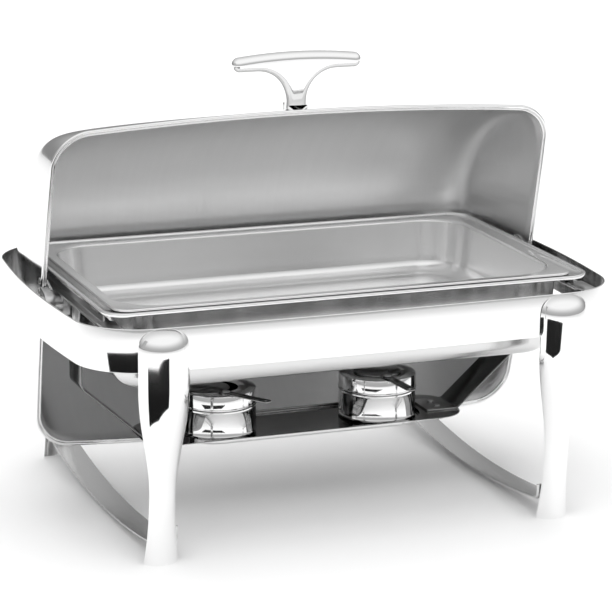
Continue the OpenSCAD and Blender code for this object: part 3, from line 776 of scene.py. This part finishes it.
# rolled rim: two ridges on the side that faces down when shut
rim_section = [(0.0, 0.4), (0.25, 1.3), (1.1, 2.0), (2.4, 2.0), (3.6, 1.6), (4.8, 1.2), (5.9, 0.8),
               (6.4, 0.0), (6.1, -0.9), (5.3, -1.4), (4.6, -1.1), (4.1, -0.7), (3.7, -1.1), (3.0, -1.8),
               (2.0, -2.0), (1.0, -1.8), (0.25, -1.0)]
outline = bowed(LID_W, LID_D, LID_R, LID_BOW_END, LID_BOW_FRONT, corner=28, side=36)
normals = inward_normals(outline)
b = Build()
b.loft([[(x + nx * o, y + ny * o, RIM_UP + z) for o, z in rim_section]
        for (x, y), (nx, ny) in zip(outline, normals)], closed=True, join_ends=True)
piece("lid_rolled_rim", b, "lid", [], [lid_outer], place=opened, sharp=60)

# Handle ----------------------------------------------------------------------------------------------
HANDLE_TILT = math.radians(79)
HANDLE_V, HANDLE_W0, HANDLE_H = 186.4, 48.3, 66.0
GRIP_HALF, GRIP_R, STEM_HALF, FLARE_R = 76.5, 8.5, 12.5, 34.0
GRIP_ARCH = 4.0
HANDLE_SUNK, STEM_STEP, STEM_POINTS = -2.0, 2.5, 6
HANDLE_ROUND = 0.96


def handle_outline():
    """Half of the T as (x, z) from the stem's foot round the grip's end, then its mirror."""
    under = HANDLE_H - GRIP_ARCH - 2 * GRIP_R
    right = [(STEM_HALF, HANDLE_SUNK + STEM_STEP * i) for i in range(STEM_POINTS)]
    n = 16
    right += [(STEM_HALF + FLARE_R * (1 - math.cos(math.pi / 2 * i / n)),
               under - FLARE_R + FLARE_R * math.sin(math.pi / 2 * i / n)) for i in range(n + 1)]
    reach_x = GRIP_HALF - GRIP_R
    right += [(STEM_HALF + FLARE_R + (reach_x - STEM_HALF - FLARE_R) * i / 6, under) for i in range(1, 6)]
    right += [(reach_x + GRIP_R * math.cos(math.pi * (i / n - 0.5)),
               under + GRIP_R + GRIP_R * math.sin(math.pi * (i / n - 0.5))) for i in range(n + 1)]
    top = []
    for i in range(1, 12):
        x = reach_x * (1 - i / 12)
        top.append((x, under + 2 * GRIP_R + GRIP_ARCH * (1 - (x / reach_x) ** 2)))
    right += top
    return right + [(0.0, HANDLE_H)] + [(-x, z) for x, z in reversed(right)]


def at_handle(p):
    """From the handle's own frame, Z up its stem, to its place on the open lid."""
    c, s = math.cos(HANDLE_TILT), math.sin(HANDLE_TILT)
    return opened(Vector((p.x, -HANDLE_V + p.y * c - p.z * s, RIM_UP + HANDLE_W0 + p.y * s + p.z * c)))


shape = handle_outline()
normals = inward_normals(shape)
rings = []
steps = 9
for k in range(-steps, steps + 1):
    a = math.pi / 2 * k / steps
    inset = GRIP_R * (1 - math.cos(a)) * HANDLE_ROUND
    thick = GRIP_R * math.sin(a)
    rings.append([(x + nx * inset, thick, max(z + nz * inset, HANDLE_SUNK))
                  for (x, z), (nx, nz) in zip(shape, normals)])
b = Build()
b.loft(rings, closed=True, cap=(True, True))
piece("handle_cast", b, "lid", ["handle"], [mirror], place=at_handle, sharp=50)

# Burners: the cup and the cap are lathed from closed (radius, z) loops ---------------------------------
VENT = 24.0
for side in ("left", "right"):
    lo, hi = extent("burner_cup_" + side)
    cap_lo, cap_hi = extent("burner_cap_" + side)
    centre = ((lo.x + hi.x) / 2, (lo.y + hi.y) / 2)
    R = (hi.x - lo.x) / 2
    base, top = lo.z, hi.z
    cup = [(0.01, base + 0.8), (R - 8, base + 0.8), (R - 6, base), (R - 3.2, base + 0.3),
           (R - 0.9, base + 2.2), (R - 0.3, base + 4.2), (R - 1, base + 6), (R - 1, top - 4),
           (R - 0.4, top - 3), (R - 0.1, top - 1.6), (R - 0.5, top - 0.2), (R - 1.4, top - 0.1),
           (R - 2.2, top - 0.8), (R - 2.2, base + 2), (0.01, base + 1.9)]
    piece("burner_cup_made_" + side, turned(cup, centre), "burner_" + side,
          ["burner_cup_" + side], [burner_steel], sharp=32)
    c0, c1 = top + 0.15, cap_hi.z
    RC = (cap_hi.x - cap_lo.x) / 2
    cap = [(RC - 2.8, c0 - 5.5), (RC - 2.8, c0 + 0.2), (RC - 0.6, c0 + 0.1), (RC - 0.1, c0 + 0.9),
           (RC - 0.1, c0 + 1.7), (RC - 0.7, c0 + 2.5), (RC - 0.7, c1 - 1.6), (RC - 1.2, c1 - 0.5),
           (RC - 2.2, c1), (VENT + 1, c1), (VENT, c1 - 0.6), (VENT, c1 - 1.5), (VENT + 1, c1 - 1.9),
           (RC - 3.9, c1 - 1.9), (RC - 3.9, c0 - 5.5)]
    piece("burner_cap_made_" + side, turned(cap, centre), "burner_" + side,
          ["burner_cap_" + side], [burner_steel], sharp=32)
    dressed("burner_damper_" + side, "damper_" + side, hanger_steel, bevel=0.3)
    dressed("damper_rivet_" + side, "burner_" + side, fastener, bevel=0.3)

# Small CAD parts with rounded edges -------------------------------------------------------------------
for side in ("left", "right"):
    for stem in ("side_rail_", "corner_bracket_", "hinge_shaft_", "shaft_saddle_"):
        dressed(stem + side, "frame", satin, bevel=0.5)
    dressed("lid_stop_" + side, "frame", fastener, bevel=0.4)
    dressed("hinge_bracket_" + side, "lid", satin, bevel=0.6)
for node in ("leg_screws", "stretcher_screws", "hanger_posts", "tray_rivets"):
    dressed(node, "frame", fastener, bevel=0.35)
for node in ("hinge_rivets", "handle_screw", "handle_washer"):
    dressed(node, "lid", fastener, bevel=0.3)


# Studio ------------------------------------------------------------------------------------------------
def flat_material(name, colour, rough=0.9):
    mat = bpy.data.materials.new(name)
    mat.use_nodes = True
    shader = mat.node_tree.nodes["Principled BSDF"]
    shader.inputs["Base Color"].default_value = (*colour, 1)
    shader.inputs["Roughness"].default_value = rough
    shader.inputs["Specular IOR Level"].default_value = 0.1
    return mat


def plane(name, corners, material):
    mesh = bpy.data.meshes.new(name)
    mesh.from_pydata([Vector(c) * MM for c in corners], [], [tuple(range(len(corners)))])
    obj = bpy.data.objects.new(name, mesh)
    mesh.materials.append(material)
    bpy.context.scene.collection.objects.link(obj)
    return obj


FLOOR = 9000
PALE, BLACK, GREY = 0.93, 0.004, 0.40
plane("floor", [(-FLOOR, -FLOOR, 0), (FLOOR, -FLOOR, 0), (FLOOR, FLOOR, 0), (-FLOOR, FLOOR, 0)],
      flat_material("floor_pale", (PALE, PALE, PALE)))
MAT_FROM, MAT_TO, MAT_UP = -14.0, 72.0, 1.0
MAT_NEAR, MAT_NEAR_LEFT = 320.0, 245.0
MAT_FAR, MAT_FAR_LEFT = 960.0, 825.0
MAT_STEPS = 12
leg_front = Vector((-LEG_X, -LEG_TOP_Y))


def round_leg(share, straight, left):
    """A place on the floor round the left front leg; its distance goes from straight ahead to the left."""
    a = math.radians(MAT_FROM + (MAT_TO - MAT_FROM) * share)
    distance = straight + (left - straight) * min(1.0, 2 * share)
    return (leg_front.x - distance * math.sin(a), leg_front.y - distance * math.cos(a), MAT_UP)


# Dark mat out of the camera's sight: the legs and burners mirror it as their dark stripes
shares = [i / MAT_STEPS for i in range(MAT_STEPS + 1)]
mat = plane("dark_mat", [round_leg(share, MAT_NEAR, MAT_NEAR_LEFT) for share in shares]
            + [round_leg(share, MAT_FAR, MAT_FAR_LEFT) for share in reversed(shares)],
            flat_material("mat_black", (BLACK, BLACK, BLACK)))
# Grey flag high on the left, out of sight too: rounded edges mirror it as thin grey lines
FLAG_X, FLAG_FRONT, FLAG_REAR, FLAG_LOW, FLAG_HIGH = -1900, -300, 250, 300, 1500
flag = plane("dark_flag", [(FLAG_X, FLAG_FRONT, FLAG_LOW), (FLAG_X, FLAG_REAR, FLAG_LOW),
                           (FLAG_X, FLAG_REAR, FLAG_HIGH), (FLAG_X, FLAG_FRONT, FLAG_HIGH)],
             flat_material("flag_grey", (GREY, GREY, GREY)))
for hidden in (mat, flag):
    hidden.visible_camera = False
    hidden.visible_diffuse = False
    hidden.visible_shadow = False

# Soft surround: paler overhead and in front, darker near the horizon and behind
HORIZON, OVERHEAD, OVERHEAD_FROM = 0.42, 1.0, 0.65
FRONT, REAR, REAR_FROM, REAR_TO = 1.0, 0.6, -0.3, 0.9
world = bpy.data.worlds.new("studio")
bpy.context.scene.world = world
world.use_nodes = True
nodes, links = world.node_tree.nodes, world.node_tree.links
back = nodes["Background"]
direction = nodes.new("ShaderNodeTexCoord")
split = nodes.new("ShaderNodeSeparateXYZ")
links.new(direction.outputs["Generated"], split.inputs["Vector"])


def ramp(source, start, end, low, high):
    node = nodes.new("ShaderNodeMapRange")
    node.interpolation_type = "SMOOTHSTEP"
    for name, value in (("From Min", start), ("From Max", end), ("To Min", low), ("To Max", high)):
        node.inputs[name].default_value = value
    links.new(source, node.inputs["Value"])
    return node.outputs["Result"]


product = nodes.new("ShaderNodeMath")
product.operation = "MULTIPLY"
links.new(ramp(split.outputs["Y"], REAR_FROM, REAR_TO, FRONT, REAR), product.inputs[0])
links.new(ramp(split.outputs["Z"], 0.0, OVERHEAD_FROM, HORIZON, OVERHEAD), product.inputs[1])
links.new(product.outputs["Value"], back.inputs["Color"])
back.inputs["Strength"].default_value = 1.0


def softbox(name, place, target, width, height, watts):
    """Area light, in metres, that lights the floor and isn't mirrored in the steel."""
    light = bpy.data.lights.new(name, "AREA")
    light.shape = "RECTANGLE"
    light.size = width
    light.size_y = height
    light.energy = watts
    obj = bpy.data.objects.new(name, light)
    obj.location = place
    obj.visible_glossy = False
    obj.rotation_euler = (Vector(target) - Vector(place)).to_track_quat("-Z", "Y").to_euler()
    bpy.context.scene.collection.objects.link(obj)


softbox("key_front", (-0.4, -1.5, 1.9), (-0.1, -0.7, 0.0), 2.4, 1.6, 18)
softbox("top", (0.0, 0.3, 2.6), (0, 0.2, 0.2), 2.4, 2.0, 18)
softbox("backdrop", (1.3, 3.6, 3.0), (1.3, 3.6, 0.0), 5.0, 4.0, 75)

# Camera: the photograph's viewing angle ------------------------------------------------------------------
CAM_PLACE = (-1.0316, -2.72775, 0.9487)
CAM_LENS, CAM_SENSOR = 155.51, 36.0
CAM_AZ, CAM_EL, CAM_ROLL = (math.radians(a) for a in (-20.886, 14.137, 0.409))
flat = math.cos(CAM_EL)
forward = Vector((-math.sin(CAM_AZ) * flat, math.cos(CAM_AZ) * flat, -math.sin(CAM_EL)))
right = forward.cross(Vector((0, 0, 1))).normalized()
up = right.cross(forward)
c, s = math.cos(CAM_ROLL), math.sin(CAM_ROLL)
side_axis, up_axis = right * c + up * s, up * c - right * s
camera_data = bpy.data.cameras.new("camera")
camera_data.lens = CAM_LENS
camera_data.sensor_width = CAM_SENSOR
camera = bpy.data.objects.new("camera", camera_data)
rows = Matrix((side_axis, up_axis, -forward)).transposed().to_4x4()
camera.matrix_world = Matrix.Translation(CAM_PLACE) @ rows
bpy.context.scene.collection.objects.link(camera)
bpy.context.scene.camera = camera
bpy.context.scene.view_settings.view_transform = "Standard"
